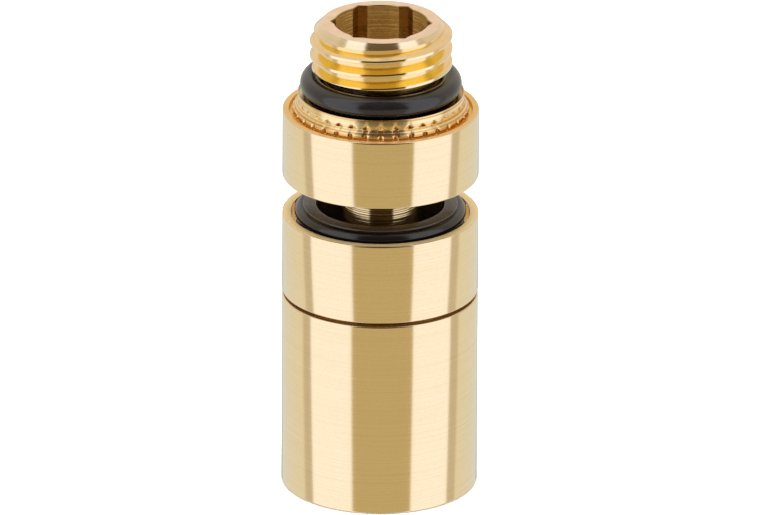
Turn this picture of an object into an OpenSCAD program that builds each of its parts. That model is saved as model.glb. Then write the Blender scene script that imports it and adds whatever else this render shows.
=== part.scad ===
// Automatic air vent with a G 1/4 connection, standing on its cap with the thread upwards.
// Millimetres. +Z runs up the common axis, and the origin is the centre of the cap's flat end.
// Air comes in at the hex socket, passes the check valve and the stem's bore, leaves between the
// swelling discs, rises through the guide bush and the seal carrier, and goes out of the open gap.

/* [Shell] */
// Outer radius of the cap, the sleeve and the collar
shell_r = 9; // [8.95:0.05:9.2]
// Height of the cap, up to the seam
cap_h = 18.48; // [18.4:0.02:18.6]
// Height of the dark seam between the cap and the sleeve
seam_h = 0.34; // [0.2:0.02:0.4]
// Height of the sleeve above the seam
sleeve_h = 7.58; // [7.5:0.02:7.8]
// Height of the open air gap, with the knob unscrewed
gap_h = 3.7; // [3.5:0.05:4]
// Height of the collar
collar_h = 6.4; // [6:0.1:6.6]
// Chamfer on the outer edges
edge = 0.15; // [0.05:0.05:0.3]

/* [Cap] */
// Thickness of the cap's closed end
cap_floor = 1.5; // [1:0.1:1.6]
// Inner radius of the chamber that holds the discs
chamber_r = 7.7; // [7.65:0.05:7.8]
// Radius of the sleeve's spigot, which is pressed into the cap
spigot_r = 8.1; // [8:0.05:8.3]
// Depth of the spigot below the cap's rim
spigot_h = 4.48; // [4.3:0.02:4.6]
// Wire radius of the O-ring on the spigot
cap_ring_wire_r = 0.4; // [0.3:0.02:0.45]

/* [Sleeve] */
// Radius of the sleeve's mouth, round the black ring
mouth_r = 8.17; // [8.1:0.01:8.3]
// Depth of the mouth
mouth_h = 2; // [1.8:0.1:2.2]
// Radius of the neck that the carrier snaps through
neck_bore_r = 7.05; // [7:0.05:7.2]
// Height of that neck
neck_bore_h = 1; // [0.8:0.1:1.2]
// Radius of the room for the snap bead and the bush's flange
snap_room_r = 7.5; // [7.4:0.05:7.6]
// Inner radius of the spigot
bush_r = 6.6; // [6.5:0.05:6.7]

/* [Nipple] */
// Crest radius of the G 1/4 thread
thread_r = 6.53; // [6.4:0.01:6.58]
// Length of the full thread
thread_h = 3.3; // [3.1:0.05:3.5]
// Length of the chamfered nose above the thread
nose_h = 1.1; // [0.9:0.05:1.3]
// Radius of the top face
nose_r = 5.45; // [5:0.05:5.8]
// Radius of the O-ring's seat in the groove under the thread
groove_r = 5.4; // [5.3:0.02:5.46]
// Height of the groove
groove_h = 2.5; // [2.4:0.1:2.7]
// Wire radius of the O-ring under the thread
port_ring_wire_r = 1; // [0.9:0.05:1.1]
// Radius of the rim round the O-ring
rim_r = 7.62; // [7.6:0.01:7.75]
// Height of the rim's lip over the O-ring's seat
lip_h = 0.2; // [0.1:0.05:0.3]
// Width of that lip
lip_w = 0.14; // [0.1:0.02:0.2]
// Radius over the flange's teeth
tooth_r = 8.05; // [8:0.01:8.1]
// Radius of the flange inside the collar, and of the collar's bore
press_r = 7.95; // [7.9:0.01:8]
// Number of teeth in each row
teeth = 36; // [24:1:40]
// Half width of a tooth gap
notch_w = 0.3; // [0.2:0.02:0.36]
// Distance across the flats of the hex socket
hex_af = 8; // [7.8:0.05:8.1]
// Depth of the hex socket
hex_depth = 4.5; // [4.2:0.1:4.6]
// Turn of the socket's corners from the X axis, in degrees
hex_turn = -2.5; // [-10:0.5:10]
// Radius of the pilot bore, which cuts the middle of each flat
pilot_r = 4.25; // [4.1:0.05:4.4]

/* [Stem and check valve] */
// Radius of the stem over its quick thread
stem_r = 3.5; // [3.45:0.01:3.52]
// Radius of the stem's bore
stem_bore_r = 1.5; // [1.2:0.1:1.6]
// Depth of the stem in the nipple
stem_seat_h = 4.25; // [4:0.05:4.4]
// Height of the stem's lower end
stem_end_z = 5.2; // [5:0.1:5.5]
// Radius of the cross holes
cross_r = 0.7; // [0.5:0.05:0.8]
// Wire radius of the O-ring on the stem
stem_ring_wire_r = 0.4; // [0.3:0.02:0.45]
// Radius of the valve chamber
valve_r = 3.6; // [3.55:0.05:3.8]
// Thickness of the web that the valve shuts against
web_h = 1.2; // [1:0.1:1.3]
// Radius of the hole in the web
web_hole_r = 2; // [1.6:0.1:2.2]
// Radius of the valve's plate
poppet_r = 3.2; // [3.1:0.05:3.3]

/* [Seal ring] */
// Radius of the hole through the carrier
ring_hole_r = 5.87; // [5.8:0.01:5.95]
// Radius of the carrier's flat top
ring_flat_r = 7.1; // [7:0.02:7.2]
// How far the carrier stands proud of the sleeve
ring_proud = 0.8; // [0.6:0.05:0.9]
// Wire radius of the O-ring round the carrier
face_ring_wire_r = 0.65; // [0.55:0.05:0.7]
// Outer radius of that O-ring
face_ring_out_r = 7.85; // [7.8:0.01:7.95]

/* [Disc pack] */
// Outer radius of a disc
disc_r = 6.8; // [6.5:0.1:7]
// Radius of a disc's hole
disc_hole_r = 4.5; // [4.4:0.05:4.6]
// Thickness of a dry disc
disc_h = 0.9; // [0.8:0.02:0.94]
// Distance from one disc to the next
disc_pitch = 1; // [0.95:0.01:1.02]

/* [Motion] */
// Rise of the knob from open to shut
lift = 3; // [2:0.1:3]

/* [Hidden] */
$fn = 96;
brass = [0.83, 0.70, 0.43];
golden_brass = [0.86, 0.66, 0.27];
black_rubber = [0.07, 0.07, 0.09];
black_plastic = [0.16, 0.14, 0.13];
spring_steel = [0.70, 0.71, 0.73];
pale_plastic = [0.88, 0.87, 0.82];
cellulose = [0.78, 0.66, 0.48];

cut = 0.5;          // how far a cutting tool runs past a face
fine_gap = 0.05;    // clearance between faces that move on each other
disc_count = 8;
bush_holes = 6;

// Heights, from the bottom up
seam_z = cap_h + seam_h;
spigot_z = cap_h - spigot_h;
sleeve_top = seam_z + sleeve_h;
mouth_z = sleeve_top - mouth_h;
neck_bore_z = mouth_z - neck_bore_h;
collar_z = sleeve_top + gap_h;
collar_top = collar_z + collar_h;
ring_top = sleeve_top + ring_proud;
seat_z = ring_top + lift + fine_gap;

// Nipple, above its underside at seat_z
tooth_low_z = collar_top - 0.2;
tooth_top_z = collar_top + 0.25;
cone_top_z = collar_top + 0.8;
notch_top_z = collar_top + 1.2;
lip_top_z = collar_top + 1.7;
groove_z = lip_top_z - lip_h;
thread_z = groove_z + groove_h;
thread_end_z = thread_z + thread_h;
nipple_top = thread_end_z + nose_h;
socket_z = nipple_top - hex_depth;
valve_seat_z = socket_z - web_h;
valve_floor_z = seat_z + stem_seat_h;
rim_fillet = 0.1;
thread_lead_in = 0.2;

// Collar
collar_lead_r = 8.4;
collar_lead_h = 0.45;
collar_relief_r = 8.2;
collar_relief_h = 0.5;

// Stem
stem_ring_z = seat_z + 2.25;
stem_ring_groove_h = 1;
stem_floor = 1;
cross_levels = [stem_end_z + 2.4, stem_end_z + 3.8];

// Guide bush and the stop ring under it
bush_z = spigot_z + 1.2;
bush_top = bush_z + 4.2;
bush_flange_h = 0.8;
bush_bore_r = stem_r + fine_gap;
bush_hole_r = 0.9;
bush_hole_pitch_r = 5.1;
stop_top = bush_z - 0.1;
stop_h = 0.7;
stop_groove_r = 3;
stop_r = 4.4;
stop_slot_w = 2.6;
cap_ring_z = bush_z + 0.4;
cap_ring_groove_h = 1.2;

// Seal carrier and its O-ring
face_ring_mid_r = face_ring_out_r - face_ring_wire_r;
face_ring_z = ring_top - face_ring_wire_r - 0.1;
carrier_z = mouth_z + fine_gap;
carrier_flange_r = 7.7;
carrier_flange_h = 0.9;
skirt_r = 6.8;
skirt_h = 3.4;
snap_r = 7.25;
snap_top_z = neck_bore_z - 0.1;
snap_h = 0.8;
skirt_slots = 4;
skirt_slot_w = 1;

// Check valve
poppet_z = valve_seat_z - 1;
poppet_h = 0.6;
poppet_boss_r = 1.2;
poppet_boss_h = 1.6;
poppet_nose_r = 1;
poppet_nose_h = 0.8;
check_seal_r = 2.9;
check_coil_r = 2.4;
check_wire_r = 0.25;
check_turns = 4;

// Disc pack
cage_z = cap_floor;
cage_flange_r = 7.4;
cage_flange_h = 0.6;
cage_bore_r = 3.8;
cage_r = 4.3;
cage_top = spigot_z - 2.8;
cage_window_r = 0.5;
cage_windows = 6;
washer_h = 0.5;
washer_r = 7.2;
pack_z = cage_z + cage_flange_h + washer_h;
pack_top = pack_z + disc_count * disc_pitch;
plate_h = 0.7;
plate_r = 7.2;
plate_hole_r = 4.75;
plate_coil_r = 6;
plate_wire_r = 0.35;
plate_turns = 3.5;

coil_sides = 8;
coil_steps_per_turn = 20;

// ---- Shapes used more than once ----

// A round solid from an outline of [radius, height] points.
module turned(outline) {
    rotate_extrude()
        polygon(outline);
}

// A straight cylinder between two heights.
module rod(r, z0, z1) {
    translate([0, 0, z0])
        cylinder(r = r, h = z1 - z0);
}

// A flat ring or a straight tube between two heights.
module tube(r_out, r_in, z0, z1) {
    difference() {
        rod(r_out, z0, z1);
        rod(r_in, z0 - cut, z1 + cut);
    }
}

// An O-ring: the radius to the wire's middle, the wire's radius and the height of its middle.
module o_ring(mid_r, wire_r, z) {
    translate([0, 0, z])
        rotate_extrude()
            translate([mid_r, 0])
                circle(r = wire_r, $fn = 48);
}

// A ring of V-shaped tooth gaps, cut into a radius between two heights.
module tooth_gaps(r, z0, z1) {
    side = notch_w * sqrt(2);
    for (i = [0:teeth - 1])
        rotate([0, 0, i * 360 / teeth])
            translate([r, 0, z0])
                rotate([0, 0, 45])
                    translate([-side / 2, -side / 2, 0])
                        cube([side, side, z1 - z0]);
}

// Points round the wire's section at one place along a coil.
function coil_section(mid_r, wire_r, angle, z) = [
    for (k = [0:coil_sides - 1])
        let (b = k * 360 / coil_sides, r = mid_r + wire_r * cos(b))
        [r * cos(angle), r * sin(angle), z + wire_r * sin(b)]
];

// A coil spring that fills the height between two faces.
module coil_spring(mid_r, wire_r, turns, z0, z1) {
    steps = round(turns * coil_steps_per_turn);
    n = coil_sides;
    rise = z1 - z0 - 2 * wire_r;
    points = [
        for (i = [0:steps])
            each coil_section(mid_r, wire_r, turns * 360 * i / steps, z0 + wire_r + rise * i / steps)
    ];
    sides = [
        for (i = [0:steps - 1], k = [0:n - 1])
            [i * n + k, (i + 1) * n + k, (i + 1) * n + (k + 1) % n, i * n + (k + 1) % n]
    ];
    first_end = [for (k = [0:n - 1]) k];
    last_end = [for (k = [n - 1:-1:0]) steps * n + k];
    polyhedron(points = points, faces = concat(sides, [first_end, last_end]), convexity = 8);
}

// ---- Connection side ----

// Outside of the nipple, with the thread as the cylinder over its crests.
module nipple_blank() {
    turned([
        [0, seat_z],
        [press_r, seat_z],
        [press_r, tooth_low_z],
        [tooth_r, tooth_low_z],
        [tooth_r, tooth_top_z],
        [rim_r, cone_top_z],
        [rim_r, lip_top_z - rim_fillet],
        [rim_r - rim_fillet, lip_top_z],
        [rim_r - lip_w, lip_top_z],
        [rim_r - lip_w, groove_z],
        [groove_r, groove_z],
        [groove_r, thread_z],
        [thread_r - thread_lead_in, thread_z],
        [thread_r, thread_z + thread_lead_in],
        [thread_r, thread_end_z],
        [nose_r, nipple_top],
        [0, nipple_top],
    ]);
}

module nipple() {
    color(golden_brass)
        difference() {
            nipple_blank();
            rotate([0, 0, hex_turn])
                translate([0, 0, socket_z])
                    cylinder(r = hex_af / 2 / cos(30), h = hex_depth + cut, $fn = 6);
            rod(pilot_r, socket_z, nipple_top + cut);
            rod(web_hole_r, valve_seat_z - cut, socket_z + cut);
            rod(valve_r, valve_floor_z, valve_seat_z);
            rod(stem_r, seat_z - cut, valve_floor_z + cut);
            tooth_gaps(tooth_r, tooth_low_z - cut, tooth_top_z + cut);
            tooth_gaps(rim_r, cone_top_z - cut, notch_top_z);
        }
}

module port_o_ring() {
    color(black_rubber)
        o_ring(groove_r + port_ring_wire_r, port_ring_wire_r, groove_z + port_ring_wire_r);
}

module collar() {
    color(brass)
        turned([
            [collar_relief_r, collar_z],
            [shell_r - edge, collar_z],
            [shell_r, collar_z + edge],
            [shell_r, collar_top - edge],
            [shell_r - edge, collar_top],
            [collar_lead_r, collar_top],
            [collar_lead_r, collar_top - collar_lead_h],
            [press_r, collar_top - collar_lead_h],
            [press_r, collar_z + collar_relief_h],
            [collar_relief_r, collar_z + collar_relief_h],
        ]);
}

// The stem's quick two-start thread is the cylinder over its crests.
module stem() {
    color(brass)
        difference() {
            rod(stem_r, stem_end_z, valve_floor_z);
            rod(stem_bore_r, stem_end_z + stem_floor, valve_floor_z + cut);
            for (z = cross_levels, turn = [45, 135])
                translate([0, 0, z])
                    rotate([90, 0, turn])
                        cylinder(r = cross_r, h = 2 * stem_r + 2 * cut, center = true);
            tube(
                stem_r + cut,
                stem_r - 2 * stem_ring_wire_r,
                stem_ring_z - stem_ring_groove_h / 2,
                stem_ring_z + stem_ring_groove_h / 2
            );
            tube(stem_r + cut, stop_groove_r, stop_top - stop_h, stop_top);
        }
}

module stem_o_ring() {
    color(black_rubber)
        o_ring(stem_r - stem_ring_wire_r, stem_ring_wire_r, stem_ring_z);
}

module stop_ring() {
    color(spring_steel)
        difference() {
            tube(stop_r, stop_groove_r, stop_top - stop_h, stop_top);
            translate([0, -stop_slot_w / 2, stop_top - stop_h - cut])
                cube([stop_r + cut, stop_slot_w, stop_h + 2 * cut]);
        }
}

// ---- Check valve ----

module check_poppet() {
    color(pale_plastic)
        turned([
            [0, poppet_z - poppet_boss_h],
            [poppet_boss_r, poppet_z - poppet_boss_h],
            [poppet_boss_r, poppet_z],
            [poppet_r, poppet_z],
            [poppet_r, poppet_z + poppet_h],
            [poppet_nose_r, poppet_z + poppet_h],
            [poppet_nose_r, poppet_z + poppet_h + poppet_nose_h],
            [0, poppet_z + poppet_h + poppet_nose_h],
        ]);
}

module check_seal() {
    color(black_rubber)
        tube(check_seal_r, poppet_nose_r, poppet_z + poppet_h, valve_seat_z);
}

module check_spring() {
    color(spring_steel)
        coil_spring(check_coil_r, check_wire_r, check_turns, valve_floor_z, poppet_z);
}

// ---- Seal ring ----

module seal_carrier() {
    color(black_plastic)
        difference() {
            turned([
                [ring_hole_r, mouth_z - skirt_h],
                [skirt_r, mouth_z - skirt_h],
                [skirt_r, snap_top_z - snap_h],
                [snap_r, snap_top_z - snap_h / 2],
                [snap_r, snap_top_z],
                [skirt_r, snap_top_z],
                [skirt_r, carrier_z],
                [carrier_flange_r, carrier_z],
                [carrier_flange_r, carrier_z + carrier_flange_h],
                [ring_flat_r, carrier_z + carrier_flange_h],
                [ring_flat_r, ring_top],
                [ring_hole_r, ring_top],
            ]);
            o_ring(face_ring_mid_r, face_ring_wire_r, face_ring_z);
            for (i = [0:skirt_slots / 2 - 1])
                rotate([0, 0, i * 360 / skirt_slots])
                    translate([-snap_r - cut, -skirt_slot_w / 2, mouth_z - skirt_h - cut])
                        cube([2 * (snap_r + cut), skirt_slot_w, skirt_h - neck_bore_h + cut]);
        }
}

module face_o_ring() {
    color(black_rubber)
        o_ring(face_ring_mid_r, face_ring_wire_r, face_ring_z);
}

// ---- Knob ----

module retainer_sleeve() {
    color(brass)
        difference() {
            turned([
                [bush_r, spigot_z],
                [spigot_r, spigot_z],
                [spigot_r, seam_z],
                [shell_r - edge, seam_z],
                [shell_r, seam_z + edge],
                [shell_r, sleeve_top - edge],
                [shell_r - edge, sleeve_top],
                [mouth_r, sleeve_top],
                [mouth_r, mouth_z],
                [neck_bore_r, mouth_z],
                [neck_bore_r, neck_bore_z],
                [snap_room_r, neck_bore_z],
                [snap_room_r, bush_top],
                [bush_r, bush_top],
            ]);
            tube(
                spigot_r + cut,
                spigot_r - 2 * cap_ring_wire_r,
                cap_ring_z - cap_ring_groove_h / 2,
                cap_ring_z + cap_ring_groove_h / 2
            );
        }
}

module cap_body() {
    color(brass)
        turned([
            [0, 0],
            [shell_r - edge, 0],
            [shell_r, edge],
            [shell_r, cap_h - edge],
            [shell_r - edge, cap_h],
            [spigot_r, cap_h],
            [spigot_r, spigot_z],
            [chamber_r, spigot_z],
            [chamber_r, cap_floor],
            [0, cap_floor],
        ]);
}

module cap_o_ring() {
    color(black_rubber)
        o_ring(spigot_r - cap_ring_wire_r, cap_ring_wire_r, cap_ring_z);
}

module guide_bush() {
    color(brass)
        difference() {
            union() {
                rod(bush_r, bush_z, bush_top);
                rod(snap_room_r, bush_top, bush_top + bush_flange_h);
            }
            rod(bush_bore_r, bush_z - cut, bush_top + bush_flange_h + cut);
            for (i = [0:bush_holes - 1])
                rotate([0, 0, i * 360 / bush_holes])
                    translate([bush_hole_pitch_r, 0, bush_z - cut])
                        cylinder(r = bush_hole_r, h = bush_top + bush_flange_h - bush_z + 2 * cut);
        }
}

// ---- Disc pack ----

module disc_cage() {
    color(pale_plastic)
        difference() {
            union() {
                rod(cage_flange_r, cage_z, cage_z + cage_flange_h);
                rod(cage_r, cage_z, cage_top);
            }
            rod(cage_bore_r, cage_z - cut, cage_top + cut);
            for (i = [0:2:disc_count - 2], w = [0:cage_windows / 2 - 1])
                translate([0, 0, pack_z + (i + 1) * disc_pitch])
                    rotate([90, 0, w * 360 / cage_windows])
                        cylinder(r = cage_window_r, h = 2 * cage_r + 2 * cut, center = true);
        }
}

module base_washer() {
    color(spring_steel)
        tube(washer_r, disc_hole_r, cage_z + cage_flange_h, pack_z);
}

// One disc of the pack, counted from the bottom.
module swelling_disc(number) {
    low = pack_z + (number - 1) * disc_pitch;
    color(cellulose)
        tube(disc_r, disc_hole_r, low, low + disc_h);
}

module pressure_plate() {
    color(spring_steel)
        tube(plate_r, plate_hole_r, pack_top, pack_top + plate_h);
}

module plate_spring() {
    color(spring_steel)
        coil_spring(plate_coil_r, plate_wire_r, plate_turns, pack_top + plate_h, bush_z);
}

nipple();
port_o_ring();
collar();
stem();
stem_o_ring();
stop_ring();
check_poppet();
check_seal();
check_spring();
seal_carrier();
face_o_ring();
retainer_sleeve();
cap_body();
cap_o_ring();
guide_bush();
disc_cage();
base_washer();
pressure_plate();
plate_spring();
for (i = [1:disc_count])
    swelling_disc(i);
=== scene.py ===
import math

import bmesh
import bpy
from mathutils import Matrix, Vector


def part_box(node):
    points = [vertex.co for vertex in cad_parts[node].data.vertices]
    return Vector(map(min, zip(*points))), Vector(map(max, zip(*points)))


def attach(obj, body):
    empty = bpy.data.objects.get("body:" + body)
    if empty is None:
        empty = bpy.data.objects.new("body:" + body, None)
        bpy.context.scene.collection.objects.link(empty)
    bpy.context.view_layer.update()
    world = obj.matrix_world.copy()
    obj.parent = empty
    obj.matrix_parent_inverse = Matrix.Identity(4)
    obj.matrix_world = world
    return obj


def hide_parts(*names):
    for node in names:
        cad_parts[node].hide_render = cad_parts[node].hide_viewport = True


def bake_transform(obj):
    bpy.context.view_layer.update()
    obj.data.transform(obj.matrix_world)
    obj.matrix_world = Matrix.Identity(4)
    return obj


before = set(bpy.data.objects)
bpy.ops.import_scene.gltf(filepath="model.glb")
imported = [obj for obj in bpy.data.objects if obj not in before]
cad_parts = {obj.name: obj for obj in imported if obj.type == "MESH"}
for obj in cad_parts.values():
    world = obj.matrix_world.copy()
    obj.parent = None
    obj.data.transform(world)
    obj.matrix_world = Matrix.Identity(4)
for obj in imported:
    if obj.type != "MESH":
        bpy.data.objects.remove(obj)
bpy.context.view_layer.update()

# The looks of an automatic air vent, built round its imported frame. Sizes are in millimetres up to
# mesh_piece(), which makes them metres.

MM = 0.001
TURN = 2 * math.pi

# Sides of a turned piece
SEGMENTS = 240

# Points closer together than this are one point
WELD = 0.0005

# Edges that bend more than this many degrees stay sharp
SHARP = 30

# Half the height of a band that takes in one flat face
FLAT = 0.001


# ---------------------------------------------------------------------------
# Sizes that come from the frame
# ---------------------------------------------------------------------------

def extent(node):
    """A node's outer radius, lowest height and highest height, in millimetres."""
    low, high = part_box(node)
    return high.y / MM, low.z / MM, high.z / MM


SHELL_R, CAP_Z, CAP_TOP = extent("cap_body")
_, SPIGOT_Z, SLEEVE_TOP = extent("retainer_sleeve")
_, COLLAR_Z, COLLAR_TOP = extent("collar")
TOOTH_R, SEAT_Z, NIPPLE_TOP = extent("nipple")
PORT_RING_R, PORT_RING_Z, PORT_RING_TOP = extent("port_o_ring")
FACE_RING_R, FACE_RING_Z, FACE_RING_TOP = extent("face_o_ring")
CARRIER_R, CARRIER_Z, CARRIER_TOP = extent("seal_carrier")
STEM_R, STEM_Z, STEM_TOP = extent("stem")
DISC_R, PACK_Z, _ = extent("swelling_disc_1")
DISCS = sorted(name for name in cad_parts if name.startswith("swelling_disc_"))

# Soft edge on the turned brass sleeves
EDGE = 0.12


# ---------------------------------------------------------------------------
# Mesh tools
# ---------------------------------------------------------------------------

def mesh_piece(name, points, faces, material, smooth_angle=SHARP):
    """An object from points in millimetres, with outward normals, and sharp edges over an angle."""
    mesh = bpy.data.meshes.new(name)
    mesh.from_pydata([(x * MM, y * MM, z * MM) for x, y, z in points], [], faces)
    bm = bmesh.new()
    bm.from_mesh(mesh)
    bmesh.ops.remove_doubles(bm, verts=bm.verts, dist=WELD * MM)
    bmesh.ops.recalc_face_normals(bm, faces=bm.faces)
    bm.to_mesh(mesh)
    bm.free()
    mesh.shade_smooth()
    mesh.set_sharp_from_angle(angle=math.radians(smooth_angle))
    mesh.materials.append(material)
    piece = bpy.data.objects.new(name, mesh)
    bpy.context.scene.collection.objects.link(piece)
    return piece


def arc(centre, radius, start, end, steps):
    """Points on an arc in the plane of radius and height, from one angle in degrees to another."""
    angles = [math.radians(start + (end - start) * i / steps) for i in range(steps + 1)]
    return [(centre[0] + radius * math.cos(a), centre[1] + radius * math.sin(a)) for a in angles]


def rounded(corners, steps=4):
    """An outline through (radius, height) corners, with a fillet where a corner has a third number."""
    outline = []
    for i, corner in enumerate(corners):
        at = Vector(corner[:2])
        if len(corner) < 3:
            outline.append(tuple(at))
            continue
        fillet = corner[2]
        back = (Vector(corners[i - 1][:2]) - at).normalized()
        ahead = (Vector(corners[(i + 1) % len(corners)][:2]) - at).normalized()
        half = back.angle(ahead) / 2
        reach = fillet / math.tan(half)
        middle = at + (back + ahead).normalized() * fillet / math.sin(half)
        first = at + back * reach - middle
        last = at + ahead * reach - middle
        spokes = [first.lerp(last, k / steps).normalized() * fillet for k in range(steps + 1)]
        outline += [tuple(middle + spoke) for spoke in spokes]
    return outline


def grid_faces(rows, around, closed):
    """Quads between rows of points that each go round. A closed grid joins its last row to its first."""
    pairs = [(i, i + 1) for i in range(rows - 1)]
    if closed:
        pairs.append((rows - 1, 0))
    faces = []
    for low, high in pairs:
        for k in range(around):
            after = (k + 1) % around
            faces.append((low * around + k, low * around + after, high * around + after, high * around + k))
    return faces


def helix_faces(rows, around, climb):
    """Quads between rows that rise by a number of rows a turn, so the last column meets them shifted."""
    faces = []
    for low in range(rows - 1):
        for k in range(around - 1):
            start = low * around + k
            faces.append((start, start + 1, start + around + 1, start + around))
        if low + climb < rows - 1:
            start = low * around + around - 1
            after = (low + climb) * around
            faces.append((start, after, after + around, start + around))
    return faces


def turned(name, outline, material, segments=SEGMENTS, smooth_angle=SHARP):
    """A solid of revolution. An outline that starts on the axis ends there; any other is closed."""
    solid = outline[0][0] == 0
    rows = outline[1:-1] if solid else outline
    angles = [TURN * k / segments for k in range(segments)]
    points = [(r * math.cos(a), r * math.sin(a), z) for r, z in rows for a in angles]
    faces = grid_faces(len(rows), segments, not solid)
    if solid:
        for (_, height), start in ((outline[0], 0), (outline[-1], (len(rows) - 1) * segments)):
            points.append((0, 0, height))
            faces += [(len(points) - 1, start + k, start + (k + 1) % segments) for k in range(segments)]
    return mesh_piece(name, points, faces, material, smooth_angle)


def o_ring(name, mid_r, wire_r, height, material, sides=40):
    """A round ring of round section."""
    section = arc((mid_r, height), wire_r, 0, 360, sides)[:-1]
    return turned(name, section, material, smooth_angle=180)


def coil(name, mid_r, wire_r, turns, low, high, material):
    """A compression spring between two faces, with the wire's end turns lying flat on them."""
    sides = 16
    steps_per_turn = 48
    flat_turns = 0.6
    steps = round(turns * steps_per_turn)
    points = []
    for i in range(steps + 1):
        at = i / steps_per_turn
        climb = min(1, max(0, (at - flat_turns) / (turns - 2 * flat_turns)))
        height = low + wire_r + climb * (high - low - 2 * wire_r)
        for k in range(sides):
            side = TURN * k / sides
            radius = mid_r + wire_r * math.cos(side)
            rise = wire_r * math.sin(side)
            points.append((radius * math.cos(TURN * at), radius * math.sin(TURN * at), height + rise))
    faces = grid_faces(steps + 1, sides, False)
    faces.append(tuple(range(sides)))
    faces.append(tuple(range(steps * sides, (steps + 1) * sides)))
    return mesh_piece(name, points, faces, material, smooth_angle=60)


def cutting_rod(radius, half_length, place):
    """A rod along its own Z axis, moved to where it cuts."""
    outline = [(0, -half_length), (radius, -half_length), (radius, half_length), (0, half_length)]
    rod = turned("cut", outline, STEEL, segments=48)
    rod.data.transform(place)
    return rod


def cutting_bar(length, width, low, high, turn):
    """A bar that lies across the axis, between two heights and turned in degrees."""
    corners = [(x * length / 2, y * width / 2) for x, y in ((-1, -1), (1, -1), (1, 1), (-1, 1))]
    points = [(x, y, z) for z in (low, high) for x, y in corners]
    faces = [(0, 1, 2, 3), (4, 5, 6, 7), *((k, (k + 1) % 4, 4 + (k + 1) % 4, 4 + k) for k in range(4))]
    bar = mesh_piece("cut", points, faces, PLASTIC)
    bar.data.transform(Matrix.Rotation(math.radians(turn), 4, "Z"))
    return bar


def cut_away(piece, tools):
    """Takes each tool's volume out of a piece, and removes the tools."""
    for tool in tools:
        modifier = piece.modifiers.new("cut", "BOOLEAN")
        modifier.operation = "DIFFERENCE"
        modifier.solver = "EXACT"
        modifier.object = tool
    bpy.context.view_layer.update()
    evaluated = piece.evaluated_get(bpy.context.evaluated_depsgraph_get())
    finished = bpy.data.meshes.new_from_object(evaluated)
    piece.modifiers.clear()
    piece.data = finished
    for tool in tools:
        bpy.data.objects.remove(tool)
    finished.set_sharp_from_angle(angle=math.radians(SHARP))


def fit(piece, node, body):
    """A piece takes a CAD node's place and rides on its body."""
    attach(piece, body)
    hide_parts(node)


# ---------------------------------------------------------------------------
# Materials
# ---------------------------------------------------------------------------

class Nodes:
    """A short way to add shader nodes to a tree."""

    def __init__(self, tree):
        self.tree = tree

    def add(self, kind, **settings):
        node = self.tree.nodes.new("ShaderNode" + kind)
        for key, value in settings.items():
            setattr(node, key, value)
        return node

    def join(self, output, target):
        self.tree.links.new(output, target)

    def place(self, scale):
        """The point on the object in metres, scaled along each axis."""
        coordinates = self.add("TexCoord")
        mapping = self.add("Mapping")
        mapping.inputs["Scale"].default_value = scale
        self.join(coordinates.outputs["Object"], mapping.inputs["Vector"])
        return mapping.outputs["Vector"]

    def noise(self, scale, detail=3.0, roughness=0.5):
        """Noise whose grain is 1 / scale metres along each axis."""
        node = self.add("TexNoise")
        node.inputs["Scale"].default_value = 1.0
        node.inputs["Detail"].default_value = detail
        node.inputs["Roughness"].default_value = roughness
        self.join(self.place(scale), node.inputs["Vector"])
        return node.outputs["Fac"]

    def sum(self, first, share, second):
        """first x share + second."""
        node = self.add("Math", operation="MULTIPLY_ADD")
        node.inputs[1].default_value = share
        self.join(first, node.inputs[0])
        self.join(second, node.inputs[2])
        return node.outputs[0]

    def rings(self, lines_per_metre):
        """Noise in rings round the axis."""
        coordinates = self.add("TexCoord")
        flat = self.add("VectorMath", operation="MULTIPLY")
        flat.inputs[1].default_value = (lines_per_metre, lines_per_metre, 0)
        reach = self.add("VectorMath", operation="LENGTH")
        node = self.add("TexNoise", noise_dimensions="1D")
        node.inputs["Scale"].default_value = 1.0
        node.inputs["Detail"].default_value = 4.0
        self.join(coordinates.outputs["Object"], flat.inputs[0])
        self.join(flat.outputs["Vector"], reach.inputs[0])
        self.join(reach.outputs["Value"], node.inputs["W"])
        return node.outputs["Fac"]

    def ramp(self, factor, stops):
        """A colour ramp from (position, colour) stops."""
        node = self.add("ValToRGB")
        elements = node.color_ramp.elements
        elements.remove(elements[1])
        elements[0].position = stops[0][0]
        elements[0].color = (*stops[0][1], 1)
        for position, colour in stops[1:]:
            elements.new(position).color = (*colour, 1)
        self.join(factor, node.inputs["Fac"])
        return node.outputs["Color"]

    def spread(self, factor, low, high, to_low, to_high):
        """A value moved from one range to another, held at its ends."""
        node = self.add("MapRange")
        node.inputs["From Min"].default_value = low
        node.inputs["From Max"].default_value = high
        node.inputs["To Min"].default_value = to_low
        node.inputs["To Max"].default_value = to_high
        self.join(factor, node.inputs["Value"])
        return node.outputs["Result"]

    def mix(self, factor, first, second):
        """One colour that turns into another."""
        node = self.add("Mix", data_type="RGBA")
        self.join(factor, node.inputs["Factor"])
        self.join(first, node.inputs[6])
        self.join(second, node.inputs[7])
        return node.outputs[2]

    def bump(self, height, strength, distance):
        """Relief of a given depth in metres."""
        node = self.add("Bump")
        node.inputs["Strength"].default_value = strength
        node.inputs["Distance"].default_value = distance
        self.join(height, node.inputs["Height"])
        return node.outputs["Normal"]


def new_material(name, **values):
    """A material, the helper for its nodes, and its shader with some constant values."""
    material = bpy.data.materials.new(name)
    material.use_nodes = True
    shader = material.node_tree.nodes["Principled BSDF"]
    for key, value in values.items():
        shader.inputs[key.replace("_", " ")].default_value = value
    return material, Nodes(material.node_tree), shader


# Grain per metre: along the lines that turning leaves, and of a fine and even kind
ALONG_LINES = 40
FINE = (4000, 4000, 4000)


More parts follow.
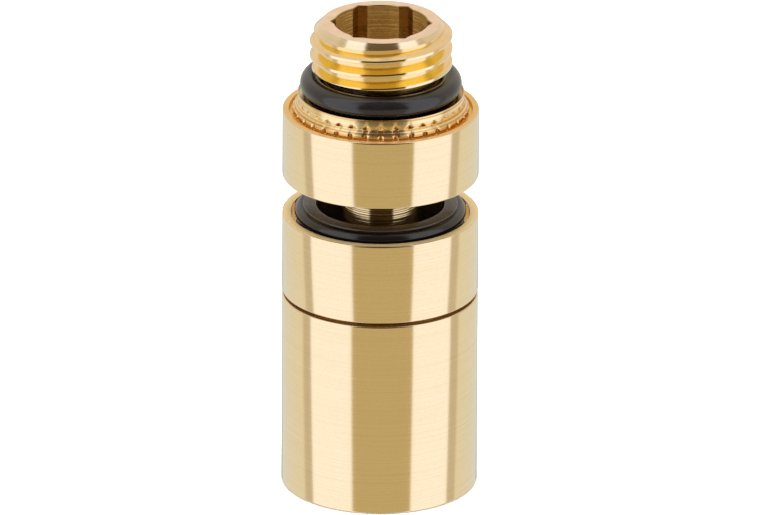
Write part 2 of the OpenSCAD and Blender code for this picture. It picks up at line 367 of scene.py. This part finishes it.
def turned_metal(name, light, deep, roughness, anisotropy, lines_per_mm, relief):
    """Metal off a lathe: fine lines, with a relief in millimetres, vary its colour and gloss."""
    material, nodes, shader = new_material(name, Metallic=1.0, Anisotropic=anisotropy)
    lines = nodes.noise((ALONG_LINES, ALONG_LINES, lines_per_mm / MM), 4.0, 0.65)
    grain = nodes.noise(FINE)
    tint = nodes.sum(grain, 0.4, lines)
    nodes.join(nodes.ramp(tint, [(0.5, deep), (0.9, light)]), shader.inputs["Base Color"])
    nodes.join(nodes.spread(lines, 0.3, 0.7, roughness * 0.8, roughness * 1.25), shader.inputs["Roughness"])
    nodes.join(nodes.bump(lines, 1.0, relief * MM), shader.inputs["Normal"])
    tangent = nodes.add("Tangent", direction_type="RADIAL", axis="Z")
    nodes.join(tangent.outputs["Tangent"], shader.inputs["Tangent"])
    return material


def grooved_metal(name, light, deep, roughness, lines_per_mm, lean):
    """Metal with coarse feed marks, whose flanks lean up the axis by a share of their width."""
    material, nodes, shader = new_material(name, Metallic=1.0)
    lines = nodes.noise((ALONG_LINES, ALONG_LINES, lines_per_mm / MM), 2.0)
    nodes.join(nodes.ramp(lines, [(0.35, deep), (0.6, light)]), shader.inputs["Base Color"])
    nodes.join(nodes.spread(lines, 0.3, 0.7, roughness * 0.8, roughness * 1.25), shader.inputs["Roughness"])
    up = nodes.add("CombineXYZ")
    nodes.join(nodes.spread(lines, 0.3, 0.7, 0.3 * lean, 1.7 * lean), up.inputs["Z"])
    to_world = nodes.add("VectorTransform", vector_type="VECTOR", convert_from="OBJECT", convert_to="WORLD")
    nodes.join(up.outputs["Vector"], to_world.inputs["Vector"])
    surface = nodes.add("NewGeometry")
    leaning = nodes.add("VectorMath", operation="ADD")
    nodes.join(surface.outputs["Normal"], leaning.inputs[0])
    nodes.join(to_world.outputs["Vector"], leaning.inputs[1])
    unit = nodes.add("VectorMath", operation="NORMALIZE")
    nodes.join(leaning.outputs["Vector"], unit.inputs[0])
    nodes.join(unit.outputs["Vector"], shader.inputs["Normal"])
    return material


def end_turned_metal(name, light, deep, roughness, lines_per_mm):
    """A flat end off a lathe, with fine rings."""
    material, nodes, shader = new_material(name, Metallic=1.0)
    rings = nodes.rings(lines_per_mm / MM)
    grain = nodes.noise(FINE)
    tint = nodes.sum(grain, 0.4, rings)
    nodes.join(nodes.ramp(tint, [(0.5, deep), (0.9, light)]), shader.inputs["Base Color"])
    nodes.join(nodes.spread(rings, 0.3, 0.7, roughness * 0.8, roughness * 1.25), shader.inputs["Roughness"])
    nodes.join(nodes.bump(rings, 1.0, 0.004 * MM), shader.inputs["Normal"])
    return material


def faced_metal(name, light, deep, roughness, metallic):
    """The matt face that a facing cut leaves, with a fine grain."""
    material, nodes, shader = new_material(name, Metallic=metallic)
    grain = nodes.noise((9000, 9000, 9000), 5.0, 0.7)
    patches = nodes.noise((900, 900, 900), 3.0)
    tint = nodes.sum(patches, 0.5, grain)
    nodes.join(nodes.ramp(tint, [(0.5, deep), (1.0, light)]), shader.inputs["Base Color"])
    nodes.join(nodes.spread(grain, 0.3, 0.7, roughness * 0.85, roughness * 1.15), shader.inputs["Roughness"])
    nodes.join(nodes.bump(grain, 1.0, 0.006 * MM), shader.inputs["Normal"])
    return material


def moulded(name, deep, light, gloss, relief, **values):
    """Rubber or plastic out of a mould: a soft colour drift, fine grain and uneven gloss."""
    material, nodes, shader = new_material(name, **values)
    grain = nodes.noise((7000, 7000, 7000), 5.0, 0.6)
    drift = nodes.noise((500, 500, 500), 2.0)
    nodes.join(nodes.ramp(drift, [(0.3, deep), (0.7, light)]), shader.inputs["Base Color"])
    nodes.join(nodes.spread(grain, 0.3, 0.7, gloss * 0.8, gloss * 1.25), shader.inputs["Roughness"])
    nodes.join(nodes.bump(grain, 1.0, relief * MM), shader.inputs["Normal"])
    return material


def pressed_fibre(name):
    """Cellulose board, with short fibres lying flat."""
    material, nodes, shader = new_material(name, IOR=1.45)
    fibres = nodes.noise((2500, 2500, 9000), 6.0, 0.7)
    drift = nodes.noise((600, 600, 600), 3.0)
    tint = nodes.sum(drift, 0.5, fibres)
    dark = (0.50, 0.38, 0.23)
    pale = (0.74, 0.62, 0.44)
    nodes.join(nodes.ramp(tint, [(0.5, dark), (0.95, pale)]), shader.inputs["Base Color"])
    nodes.join(nodes.spread(fibres, 0.3, 0.7, 0.75, 0.95), shader.inputs["Roughness"])
    nodes.join(nodes.bump(fibres, 0.5, 0.03 * MM), shader.inputs["Normal"])
    return material


# After the colours, a turned finish has its roughness, anisotropy, lines per millimetre and relief, and a
# grooved one its roughness, lines per millimetre and lean
BRASS = turned_metal("turned_brass", (0.95, 0.80, 0.57), (0.89, 0.72, 0.47), 0.09, 0.5, 11, 0.0012)
CREAM = turned_metal("cream_brass", (0.98, 0.86, 0.66), (0.90, 0.73, 0.47), 0.10, 0.3, 7, 0.004)
# Painted bounce light: a saturated gold that stands in for light bounced between the thread's flanks and
# roots
BOUNCE_GOLD = turned_metal("golden_brass", (1.0, 0.78, 0.20), (0.96, 0.70, 0.10), 0.16, 0.3, 9, 0.004)
AMBER = turned_metal("amber_brass", (0.98, 0.77, 0.46), (0.92, 0.66, 0.32), 0.14, 0.0, 8, 0.005)
LINED = grooved_metal("lined_brass", (1.0, 0.84, 0.54), (0.74, 0.39, 0.08), 0.20, 8, 0.10)
SCORED = grooved_metal("scored_brass", (0.84, 0.66, 0.40), (0.30, 0.20, 0.09), 0.14, 10, 0.27)
BORED = turned_metal("bored_brass", (1.0, 0.76, 0.33), (0.66, 0.38, 0.08), 0.45, 0.0, 4, 0.22)
# Painted shade: a dark brown brass for the socket's flats, the nipple's seat and the seam under the sleeve
SHADE_BRASS = turned_metal("painted_shade_brass", (0.60, 0.42, 0.18), (0.42, 0.26, 0.09), 0.28, 0.0, 3, 0.01)
FACED = faced_metal("faced_brass", (0.71, 0.52, 0.36), (0.53, 0.375, 0.245), 0.40, 0.5)
ENDED = end_turned_metal("end_turned_brass", (0.95, 0.80, 0.57), (0.84, 0.66, 0.42), 0.16, 6)
# Painted bounce light: a saturated orange for light that the brass flange throws into the collar's lead-in
LEAD_IN_BOUNCE = faced_metal("lead_in_bounce_brass", (0.82, 0.50, 0.12), (0.66, 0.36, 0.06), 0.34, 0.5)
# Lit and shaded copies of one rim finish: a darker golden one is painted shade on the collar's rim, which
# the overhead light reaches, and on the cap's top face; a pale one is painted light on the sleeve's rim,
# which the collar shades
SHADED_RIM = faced_metal("rim_brass", (0.76, 0.48, 0.19), (0.64, 0.38, 0.13), 0.34, 0.6)
LIT_RIM = faced_metal("lit_rim_brass", (1.0, 0.81, 0.45), (1.0, 0.71, 0.31), 0.34, 0.5)
STEEL = turned_metal("spring_steel", (0.70, 0.71, 0.72), (0.52, 0.53, 0.55), 0.28, 0.0, 6, 0.002)
RUBBER = moulded("black_rubber", (0.009, 0.008, 0.010), (0.014, 0.012, 0.014), 0.16, 0.0005, IOR=1.6)
PLASTIC = moulded("black_plastic", (0.078, 0.062, 0.046), (0.112, 0.090, 0.066), 0.22, 0.002, IOR=1.9)
PALE = moulded("pale_plastic", (0.74, 0.72, 0.66), (0.82, 0.81, 0.76), 0.45, 0.002, IOR=1.5)
FIBRE = pressed_fibre("cellulose")


# ---------------------------------------------------------------------------
# Nipple: one grid of rows that each go round, with columns about a degree apart
# ---------------------------------------------------------------------------

# The G 1/4 thread: its crests are flat, with a bevel on their upper edge
CREST_R = 6.53
ROOT_R = 5.75
CREST_W = 0.2
PITCH = 1.337
FLANK_SLOPE = math.tan(math.radians(27.5))
CREST_AT_FRONT = 42.1
BEVEL_START = 0.04
BEVEL_END = 0.13
BEVEL_DEPTH = 0.035
THREAD_Z = 40.5
LEAD_IN = 0.2

# The chamfered nose above the thread, and the neck below it that holds the O-ring
NOSE_Z = 43.8
NOSE_R = 5.45
NECK_R = 5.4

# The flange: the pressed band, a row of teeth, a cone, a row of notches and a thin lip
PRESS_R = 7.95
RIM_R = 7.62
TOOTH_Z = 36.3
TOOTH_TOP = 36.75
CONE_TOP = 37.3
NOTCH_TOP = 37.7
LIP_TOP = 38.2
LIP_W = 0.14
TEETH = 36
TOOTH_GAP_DEPTH = 0.2
TOOTH_GAP_HALF = 2.0
NOTCH_DEPTH = 0.22
NOTCH_HALF = 3.2

# The inside: the hex socket with its pilot bore, the web, the valve's chamber
HEX_FLAT = 4.0
HEX_TURN = -2.5
PILOT_R = 4.25
SOCKET_Z = 40.4
WEB_HOLE_R = 2.0
VALVE_R = 3.6
VALVE_Z = 34.5
VALVE_SEAT_Z = 39.2

# A face whose normal leans more than this along the axis is a flank of the thread
STEEP = 0.5


def nipple_columns():
    """Angles in degrees: every degree, each corner of the hex socket and each end of its pilot's arcs."""
    arc_end = math.degrees(math.acos(HEX_FLAT / PILOT_R))
    extra = [HEX_TURN + 60 * k + a for k in range(6) for a in (0, 30 - arc_end, 30 + arc_end)]
    return sorted([*range(360), *(a % 360 for a in extra)])


def socket_r(angle):
    """The hex socket, with the round pilot bore that was drilled first."""
    across = (angle - HEX_TURN) % 60 - 30
    return max(HEX_FLAT / math.cos(math.radians(across)), PILOT_R)


def thread_r(angle, height):
    """A right-hand thread with flat crests and roots and a lead-in below."""
    crest = CREST_AT_FRONT + PITCH * (angle - 270) / 360
    off = (height - crest + PITCH / 2) % PITCH - PITCH / 2
    bevel = min(max(0, off - BEVEL_START) / (BEVEL_END - BEVEL_START), 1) * BEVEL_DEPTH
    flank_start = BEVEL_END if off > 0 else CREST_W / 2
    radius = CREST_R - bevel - max(0, abs(off) - flank_start) / FLANK_SLOPE
    lead_in = CREST_R - max(0, THREAD_Z + LEAD_IN - height)
    return min(max(radius, ROOT_R), lead_in)


def notch(angle, half_width):
    """How far into a tooth gap an angle lies: 1 at its middle and 0 outside."""
    spacing = 360 / TEETH
    off = abs((angle + spacing / 2) % spacing - spacing / 2)
    return max(0, 1 - off / half_width) if half_width else 0


def flange_rows(angles):
    """Rows up the outside of the flange: the pressed band, the teeth, the cone, the notches and the lip."""
    def plain(radius, height):
        return [(radius, height) for _ in angles]

    band = rounded([(STEM_R, SEAT_Z), (PRESS_R, SEAT_Z, EDGE), (PRESS_R, TOOTH_Z)])
    rows = [plain(*corner) for corner in band[1:]]
    for height in (TOOTH_Z + 0.03, TOOTH_TOP):
        rows.append([(TOOTH_R - TOOTH_GAP_DEPTH * notch(a, TOOTH_GAP_HALF), height) for a in angles])
    # The teeth's sloped upper edge, the top of the cone, then the notches, which get shallower upwards
    rows.append(plain(TOOTH_R - 0.1, TOOTH_TOP + 0.12))
    rows.append(plain(RIM_R + 0.03, CONE_TOP - 0.04))
    steps = 5
    for k in range(steps):
        share = 1 - k / (steps - 1)
        height = NOTCH_TOP - share * (NOTCH_TOP - CONE_TOP)
        rows.append([(RIM_R - NOTCH_DEPTH * share * notch(a, NOTCH_HALF * share), height) for a in angles])
    lip_in = RIM_R - LIP_W
    lip = rounded([
        (RIM_R, NOTCH_TOP),
        (RIM_R, LIP_TOP, 0.05),
        (lip_in, LIP_TOP, 0.03),
        (lip_in, PORT_RING_Z),
        (NECK_R, PORT_RING_Z),
        (NECK_R, THREAD_Z),
    ])
    rows += [plain(*corner) for corner in lip[1:]]
    return rows


def helix_rows(angles):
    """Rows that climb with the thread, one for each bend of its profile, from its lead-in to the top.

    Also how many rows there are to a pitch.
    """
    depth = CREST_R - ROOT_R
    root_low = -CREST_W / 2 - depth * FLANK_SLOPE
    root_high = BEVEL_END + (depth - BEVEL_DEPTH) * FLANK_SLOPE
    bends = (root_low, -CREST_W / 2, BEVEL_START, BEVEL_END, root_high)
    low = THREAD_Z + LEAD_IN
    first = math.floor((low - CREST_AT_FRONT) / PITCH) - 1
    last = math.ceil((NIPPLE_TOP - CREST_AT_FRONT) / PITCH) + 1
    rows = []
    for turn in range(first, last + 1):
        for bend in bends:
            heights = [CREST_AT_FRONT + PITCH * (turn + (a - 270) / 360) + bend for a in angles]
            held = [min(max(z, low), NIPPLE_TOP) for z in heights]
            rows.append([(thread_r(a, z), z) for a, z in zip(angles, held)])
    return rows, len(bends)


def bore_rows(angles):
    """Rows down the inside: the hex socket, the web's hole, the valve's chamber and the stem's seat."""
    edge = 0.08
    rows = [
        [(socket_r(a) + edge, NIPPLE_TOP) for a in angles],
        [(socket_r(a), NIPPLE_TOP - edge) for a in angles],
        [(socket_r(a), SOCKET_Z) for a in angles],
    ]
    down = [
        (WEB_HOLE_R, SOCKET_Z),
        (WEB_HOLE_R, VALVE_SEAT_Z),
        (VALVE_R, VALVE_SEAT_Z),
        (VALVE_R, VALVE_Z),
        (STEM_R, VALVE_Z),
        (STEM_R, SEAT_Z),
    ]
    return rows + [[corner for _ in angles] for corner in down]


def nose_r(height):
    """The chamfer that takes the thread down to the top face."""
    return NOSE_R + (CREST_R - NOSE_R) * (NIPPLE_TOP - height) / (NIPPLE_TOP - NOSE_Z)


def nipple_finish(face):
    """The nipple's finish on a face, from where it lies and which way it looks: down-facing flanks get
    painted bounce light, the socket's flats and the seat painted shade.
    """
    near = 0.01
    radius = face.center.xy.length / MM
    height = face.center.z / MM
    if height > NIPPLE_TOP - near:
        return FACED
    # The socket's flats get painted shade, its pilot arcs the bored finish
    if radius < NOSE_R - 0.1 and height > SOCKET_Z - near:
        return SHADE_BRASS if radius > PILOT_R + near else BORED
    # The seat underneath gets painted shade
    if height < SEAT_Z + near:
        return SHADE_BRASS
    if radius < NECK_R or height < THREAD_Z:
        return LINED
    if radius > nose_r(height) - 2 * near:
        return CREAM
    # Down-facing flanks get painted bounce light, a saturated gold
    if face.normal.z < -STEEP:
        return BOUNCE_GOLD
    return AMBER if radius < ROOT_R + 3 * near or face.normal.z > STEEP else CREAM


def nose_cutter():
    """A ring whose inside is the nose's chamfer."""
    above = NIPPLE_TOP + 0.2
    below = NOSE_Z - 0.3
    outside = nose_r(below) + 1
    outline = [(nose_r(above), above), (nose_r(below), below), (outside, below), (outside, above)]
    return turned("cut", outline, CREAM, segments=3 * SEGMENTS)


def nipple():
    """The connection piece, with its thread, flange and inside in one skin."""
    angles = nipple_columns()
    around = len(angles)
    helix, climb = helix_rows(angles)
    lead_in = [[(thread_r(a, THREAD_Z), THREAD_Z) for a in angles]]
    below = bore_rows(angles) + flange_rows(angles) + lead_in
    rows = below + helix
    turns = [(math.cos(math.radians(a)), math.sin(math.radians(a))) for a in angles]
    points = [(r * c, r * s, z) for row in rows for (r, z), (c, s) in zip(row, turns)]
    start = len(below) * around
    faces = grid_faces(len(below) + 1, around, False)
    faces += [tuple(corner + start for corner in face) for face in helix_faces(len(helix), around, climb)]
    last = (len(rows) - 1) * around
    faces += [(last + k, last + (k + 1) % around, (k + 1) % around, k) for k in range(around)]
    finishes = [CREAM, BOUNCE_GOLD, FACED, BORED, SHADE_BRASS, AMBER, LINED]
    piece = mesh_piece("threaded_nipple", points, faces, CREAM, smooth_angle=28)
    cut_away(piece, [nose_cutter()])
    for finish in finishes[1:]:
        piece.data.materials.append(finish)
    for face in piece.data.polygons:
        face.material_index = finishes.index(nipple_finish(face))
    fit(piece, "nipple", "connector")


# ---------------------------------------------------------------------------
# The other pieces
# ---------------------------------------------------------------------------

def finish_band(piece, low, high, finish, radius=SHELL_R - EDGE / 2):
    """Gives the faces whose middles lie between two heights, inside a radius, another finish."""
    piece.data.materials.append(finish)
    for face in piece.data.polygons:
        if face.center.xy.length / MM < radius and low < face.center.z / MM < high:
            face.material_index = len(piece.data.materials) - 1


def port_o_ring():
    """The O-ring under the thread."""
    wire_r = (PORT_RING_TOP - PORT_RING_Z) / 2
    piece = o_ring("port_bead", PORT_RING_R - wire_r, wire_r, PORT_RING_Z + wire_r, RUBBER)
    fit(piece, "port_o_ring", "connector")


def collar():
    """The plain sleeve over the flange, with a lead-in at the top and a relief below."""
    bore_r = PRESS_R
    relief_r = 8.2
    relief_h = 0.5
    lead_in_r = 8.4
    lead_in_z = COLLAR_TOP - 0.45
    piece = turned("brass_collar", rounded([
        (relief_r, COLLAR_Z, 0.08),
        (SHELL_R, COLLAR_Z, EDGE),
        (SHELL_R, COLLAR_TOP, EDGE),
        (lead_in_r, COLLAR_TOP, 0.06),
        (lead_in_r, lead_in_z),
        (bore_r, lead_in_z),
        (bore_r, COLLAR_Z + relief_h),
        (relief_r, COLLAR_Z + relief_h),
    ]), BRASS)
    # The lead-in gets painted bounce light
    finish_band(piece, lead_in_z - 0.1, COLLAR_TOP + FLAT, LEAD_IN_BOUNCE, lead_in_r + 0.05)
    # The rim gets painted shade, the darker copy of the rim finish
    finish_band(piece, COLLAR_TOP - FLAT, COLLAR_TOP + FLAT, SHADED_RIM)
    fit(piece, "collar", "connector")


def stem():
    """The hollow stem, with grooves for its seal and stop ring and cross holes that let air in."""
    bore_r = 1.5
    bore_z = STEM_Z + 1.0
    stop_r = 3.0
    stop_z = 14.4
    stop_top = 15.1
    groove_r = 2.7
    groove_z = 32.0
    groove_top = 33.0
    cross_r = 0.7
    cross_heights = (7.6, 9.0)
    piece = turned("hollow_stem", rounded([
        (0, STEM_Z),
        (STEM_R, STEM_Z, 0.2),
        (STEM_R, stop_z),
        (stop_r, stop_z),
        (stop_r, stop_top),
        (STEM_R, stop_top),
        (STEM_R, groove_z),
        (groove_r, groove_z),
        (groove_r, groove_top),
        (STEM_R, groove_top),
        (STEM_R, STEM_TOP, 0.1),
        (bore_r, STEM_TOP, 0.1),
        (bore_r, bore_z),
        (0, bore_z),
    ]), SCORED, segments=120)
    tools = []
    for height in cross_heights:
        for turn in (45, 135):
            across = Matrix.Rotation(math.radians(turn), 4, "Z") @ Matrix.Rotation(math.radians(90), 4, "X")
            place = Matrix.Translation((0, 0, height * MM)) @ across
            tools.append(cutting_rod(cross_r, STEM_R + 1, place))
    cut_away(piece, tools)
    fit(piece, "stem", "connector")


def face_o_ring():
    """The rounded ring in the carrier's groove."""
    wire_r = (FACE_RING_TOP - FACE_RING_Z) / 2
    piece = o_ring("face_bead", FACE_RING_R - wire_r, wire_r, FACE_RING_Z + wire_r, RUBBER)
    fit(piece, "face_o_ring", "seal_ring")


def seal_carrier():
    """The black ring round the stem: a flat top, a groove, a flange and a slotted snap-in skirt."""
    hole_r = 5.87
    top_r = 7.1
    flange_z = 24.45
    flange_top = 25.35
    skirt_r = 6.8
    bead_r = 7.25
    bead_z = 22.9
    bead_top = 23.3
    slot_w = 1.0
    wire_r = (FACE_RING_TOP - FACE_RING_Z) / 2
    ring_mid = (FACE_RING_R - wire_r, FACE_RING_Z + wire_r)
    start = math.degrees(math.acos((top_r - ring_mid[0]) / wire_r))
    groove = [(r, z) for r, z in arc(ring_mid, wire_r, 360 - start, start, 24) if r <= top_r + FLAT]
    piece = turned("slotted_carrier", rounded([
        (hole_r, CARRIER_Z),
        (skirt_r, CARRIER_Z, 0.15),
        (skirt_r, bead_z - 0.4),
        (bead_r, bead_z, 0.05),
        (bead_r, bead_top, 0.05),
        (skirt_r, bead_top),
        (skirt_r, flange_z),
        (CARRIER_R, flange_z, 0.1),
        (CARRIER_R, flange_top, 0.1),
        (top_r, flange_top),
        *groove,
        (top_r, CARRIER_TOP, 0.05),
        (hole_r, CARRIER_TOP, 0.12),
    ]), PLASTIC)
    slots = [cutting_bar(2 * CARRIER_R, slot_w, CARRIER_Z - 1, bead_top, turn) for turn in (45, 135)]
    cut_away(piece, slots)
    fit(piece, "seal_carrier", "seal_ring")


def retainer_sleeve():
    """The knob's upper sleeve: the black ring's mouth, the bush's seat and the spigot into the cap."""
    spigot_r = 8.1
    groove_r = 7.3
    groove_z = 15.0
    groove_top = 16.2
    bush_seat_z = 19.4
    bush_r = 6.6
    wide_r = 7.5
    neck_r = 7.05
    neck_z = 23.4
    mouth_r = 8.17
    mouth_z = 24.4
    seam_top = 18.82
    piece = turned("knob_sleeve", rounded([
        (bush_r, SPIGOT_Z, 0.1),
        (spigot_r, SPIGOT_Z, 0.2),
        (spigot_r, groove_z),
        (groove_r, groove_z),
        (groove_r, groove_top),
        (spigot_r, groove_top),
        (spigot_r, seam_top),
        (SHELL_R, seam_top, EDGE),
        (SHELL_R, SLEEVE_TOP, EDGE),
        (mouth_r, SLEEVE_TOP, 0.1),
        (mouth_r, mouth_z),
        (neck_r, mouth_z),
        (neck_r, neck_z),
        (wide_r, neck_z),
        (wide_r, bush_seat_z),
        (bush_r, bush_seat_z),
    ]), BRASS)
    # The rim in the collar's shadow gets painted light, a pale copy of the rim finish
    finish_band(piece, SLEEVE_TOP - FLAT, SLEEVE_TOP + FLAT, LIT_RIM)
    # Painted shade on the spigot and in the seam under the sleeve
    finish_band(piece, groove_top, seam_top + 0.03, SHADE_BRASS)
    fit(piece, "retainer_sleeve", "knob")


def cap_body():
    """The long plain cap with its flat closed end and the disc chamber."""
    floor_top = 1.5
    chamber_r = 7.7
    spigot_bore_r = 8.1
    piece = turned("knob_cap", rounded([
        (0, CAP_Z),
        (SHELL_R, CAP_Z, 0.15),
        (SHELL_R, CAP_TOP, EDGE),
        (spigot_bore_r, CAP_TOP, 0.05),
        (spigot_bore_r, SPIGOT_Z),
        (chamber_r, SPIGOT_Z),
        (chamber_r, floor_top, 0.3),
        (0, floor_top),
    ]), BRASS)
    # The cap's top face in the seam gets painted shade, the darker rim copy
    finish_band(piece, CAP_TOP - 0.03, CAP_TOP + FLAT, SHADED_RIM)
    finish_band(piece, CAP_Z - FLAT, CAP_Z + 0.05, ENDED)
    fit(piece, "cap_body", "knob")


def swelling_discs():
    """Cellulose washers that swell and push the pressure plate up."""
    bore_r = 4.5
    levels = 4
    for name in DISCS:
        _, low, high = extent(name)
        heights = [low + (high - low) * k / levels for k in range(1, levels)]
        section = rounded([
            (bore_r, low, 0.08),
            (DISC_R, low, 0.1),
            *((DISC_R, height) for height in heights),
            (DISC_R, high, 0.1),
            (bore_r, high, 0.08),
            *((bore_r, height) for height in reversed(heights)),
        ])
        piece = turned(name.replace("swelling_disc", "fibre_washer"), section, FIBRE, segments=120)
        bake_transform(piece)
        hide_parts(name)


def spring(name, node, wire_r, turns):
    """A coil in a CAD spring's place, stretched between the bodies that it stands on and pushes."""
    outer_r, low, high = extent(node)
    piece = coil(name, outer_r - wire_r, wire_r, turns, low, high, STEEL)
    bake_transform(piece)
    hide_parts(node)


def dress_cad_nodes():
    """Inner pieces whose CAD shape stays get their materials."""
    finishes = {
        "stem_o_ring": RUBBER,
        "cap_o_ring": RUBBER,
        "check_seal": RUBBER,
        "stop_ring": STEEL,
        "base_washer": STEEL,
        "pressure_plate": STEEL,
        "check_poppet": PALE,
        "disc_cage": PALE,
        "guide_bush": BRASS,
    }
    for name, material in finishes.items():
        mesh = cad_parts[name].data
        mesh.materials.clear()
        mesh.materials.append(material)


# ---------------------------------------------------------------------------
# Stage
# ---------------------------------------------------------------------------

# Distances in metres, angles in degrees
CAMERA_DISTANCE = 1.5
CAMERA_LENS = 775
CAMERA_ELEVATION = 22.0
LOOK_AT = Vector((-0.00001, 0, 0.02174))
LEAN = 0.28

# The studio's colours by direction: the front below, near and above the horizon, then round to the back
DARK_FRONT = (0.56, 0.46, 0.245)
BLACK_FRONT = (0.052, 0.033, 0.014)
DARK_ABOVE = (0.14, 0.10, 0.055)
SOFTBOX = (1.10, 1.10, 1.12)
BOX_EDGE = (0.62, 0.55, 0.42)
WARM_SIDE = (0.82, 0.78, 0.63)
DIM_SIDE = (0.66, 0.58, 0.45)
ROOM = (0.73, 0.76, 0.74)
WARM_ROOM = (0.84, 0.75, 0.64)
GREY_BACK = (0.55, 0.54, 0.50)
DARK_BACK = (0.30, 0.30, 0.28)

# Heights of a direction of length 1 where the walls' lower colours turn into the level ones, and those into
# the upper
HORIZON = (-0.20, -0.05)
RISE = (0.5, 0.9)


def floor():
    """A plain pale floor that the brass doesn't mirror."""
    half = 3.0
    corners = [(-half, -half, 0), (half, -half, 0), (half, half, 0), (-half, half, 0)]
    mesh = bpy.data.meshes.new("floor")
    mesh.from_pydata(corners, [], [(0, 1, 2, 3)])
    material, nodes, shader = new_material("pale_floor", Roughness=0.9, Specular_IOR_Level=0.0)
    patches = nodes.noise((20, 20, 20), 2.0)
    tint = nodes.ramp(patches, [(0.3, (0.90, 0.90, 0.90)), (0.7, (0.92, 0.92, 0.92))])
    nodes.join(tint, shader.inputs["Base Color"])
    mesh.materials.append(material)
    plane = bpy.data.objects.new("floor", mesh)
    plane.visible_glossy = False
    bpy.context.scene.collection.objects.link(plane)


def wall_colours(front, side, room, back, widen=0):
    """The studio's walls, as stops round the full turn from the back: the front is in the middle.

    The front's dark wall can be widened by some degrees on both sides.
    """
    edges = [
        (-180, back),
        (-160, room),
        (-103, side),
        (-98.5, BOX_EDGE),
        (-88, BOX_EDGE),
        (-87, SOFTBOX),
        (-33 - widen, SOFTBOX),
        (-32 - widen, front),
        (38 + widen, front),
        (39 + widen, SOFTBOX),
        (89.5, SOFTBOX),
        (90.5, BOX_EDGE),
        (102, BOX_EDGE),
        (106, side),
        (160, room),
        (180, back),
    ]
    return [((angle + 180) / 360, colour) for angle, colour in edges]


def studio():
    """Soft light from all round: two tall softboxes beside a dim warm front, and a pale room behind."""
    world = bpy.data.worlds.new("studio")
    world.use_nodes = True
    bpy.context.scene.world = world
    nodes = Nodes(world.node_tree)
    direction = nodes.add("TexCoord")
    split = nodes.add("SeparateXYZ")
    back = nodes.add("Math", operation="MULTIPLY")
    back.inputs[1].default_value = -1
    around = nodes.add("Math", operation="ARCTAN2")
    nodes.join(direction.outputs["Generated"], split.inputs[0])
    nodes.join(split.outputs["Y"], back.inputs[0])
    nodes.join(split.outputs["X"], around.inputs[0])
    nodes.join(back.outputs[0], around.inputs[1])
    turn = nodes.spread(around.outputs[0], -math.pi, math.pi, 0, 1)
    below = nodes.ramp(turn, wall_colours(DARK_FRONT, WARM_SIDE, ROOM, DARK_BACK))
    level = nodes.ramp(turn, wall_colours(BLACK_FRONT, DIM_SIDE, WARM_ROOM, GREY_BACK))
    above = nodes.ramp(turn, wall_colours(DARK_ABOVE, WARM_SIDE, WARM_ROOM, GREY_BACK, widen=13))
    horizon = nodes.spread(split.outputs["Z"], *HORIZON, 0, 1)
    rise = nodes.spread(split.outputs["Z"], *RISE, 0, 1)
    colour = nodes.mix(horizon, below, nodes.mix(rise, level, above))
    nodes.join(colour, world.node_tree.nodes["Background"].inputs["Color"])


def overhead_light():
    """A large soft light that whitens the floor and isn't mirrored."""
    data = bpy.data.lights.new("overhead", "AREA")
    data.shape = "DISK"
    data.size = 1.2
    data.energy = 30
    lamp = bpy.data.objects.new("overhead", data)
    lamp.location = (0, 0, 1.4)
    lamp.visible_camera = False
    lamp.visible_glossy = False
    bpy.context.scene.collection.objects.link(lamp)


def camera():
    """A long lens from in front and above, with a slight lean."""
    data = bpy.data.cameras.new("camera")
    data.lens = CAMERA_LENS
    data.clip_start = 0.1
    data.clip_end = 20
    eye = bpy.data.objects.new("camera", data)
    elevation = math.radians(CAMERA_ELEVATION)
    back = Vector((0, -math.cos(elevation), math.sin(elevation)))
    eye.location = LOOK_AT + back * CAMERA_DISTANCE
    turn = (-back).to_track_quat("-Z", "Y") @ Matrix.Rotation(math.radians(LEAN), 3, "Z").to_quaternion()
    eye.rotation_euler = turn.to_euler()
    bpy.context.scene.collection.objects.link(eye)
    bpy.context.scene.camera = eye
    bpy.context.scene.view_settings.view_transform = "Standard"


camera()
studio()
overhead_light()
floor()
nipple()
port_o_ring()
collar()
stem()
face_o_ring()
seal_carrier()
retainer_sleeve()
cap_body()
swelling_discs()
spring("plate_coil", "plate_spring", 0.35, 3.5)
spring("check_coil", "check_spring", 0.25, 4)
dress_cad_nodes()
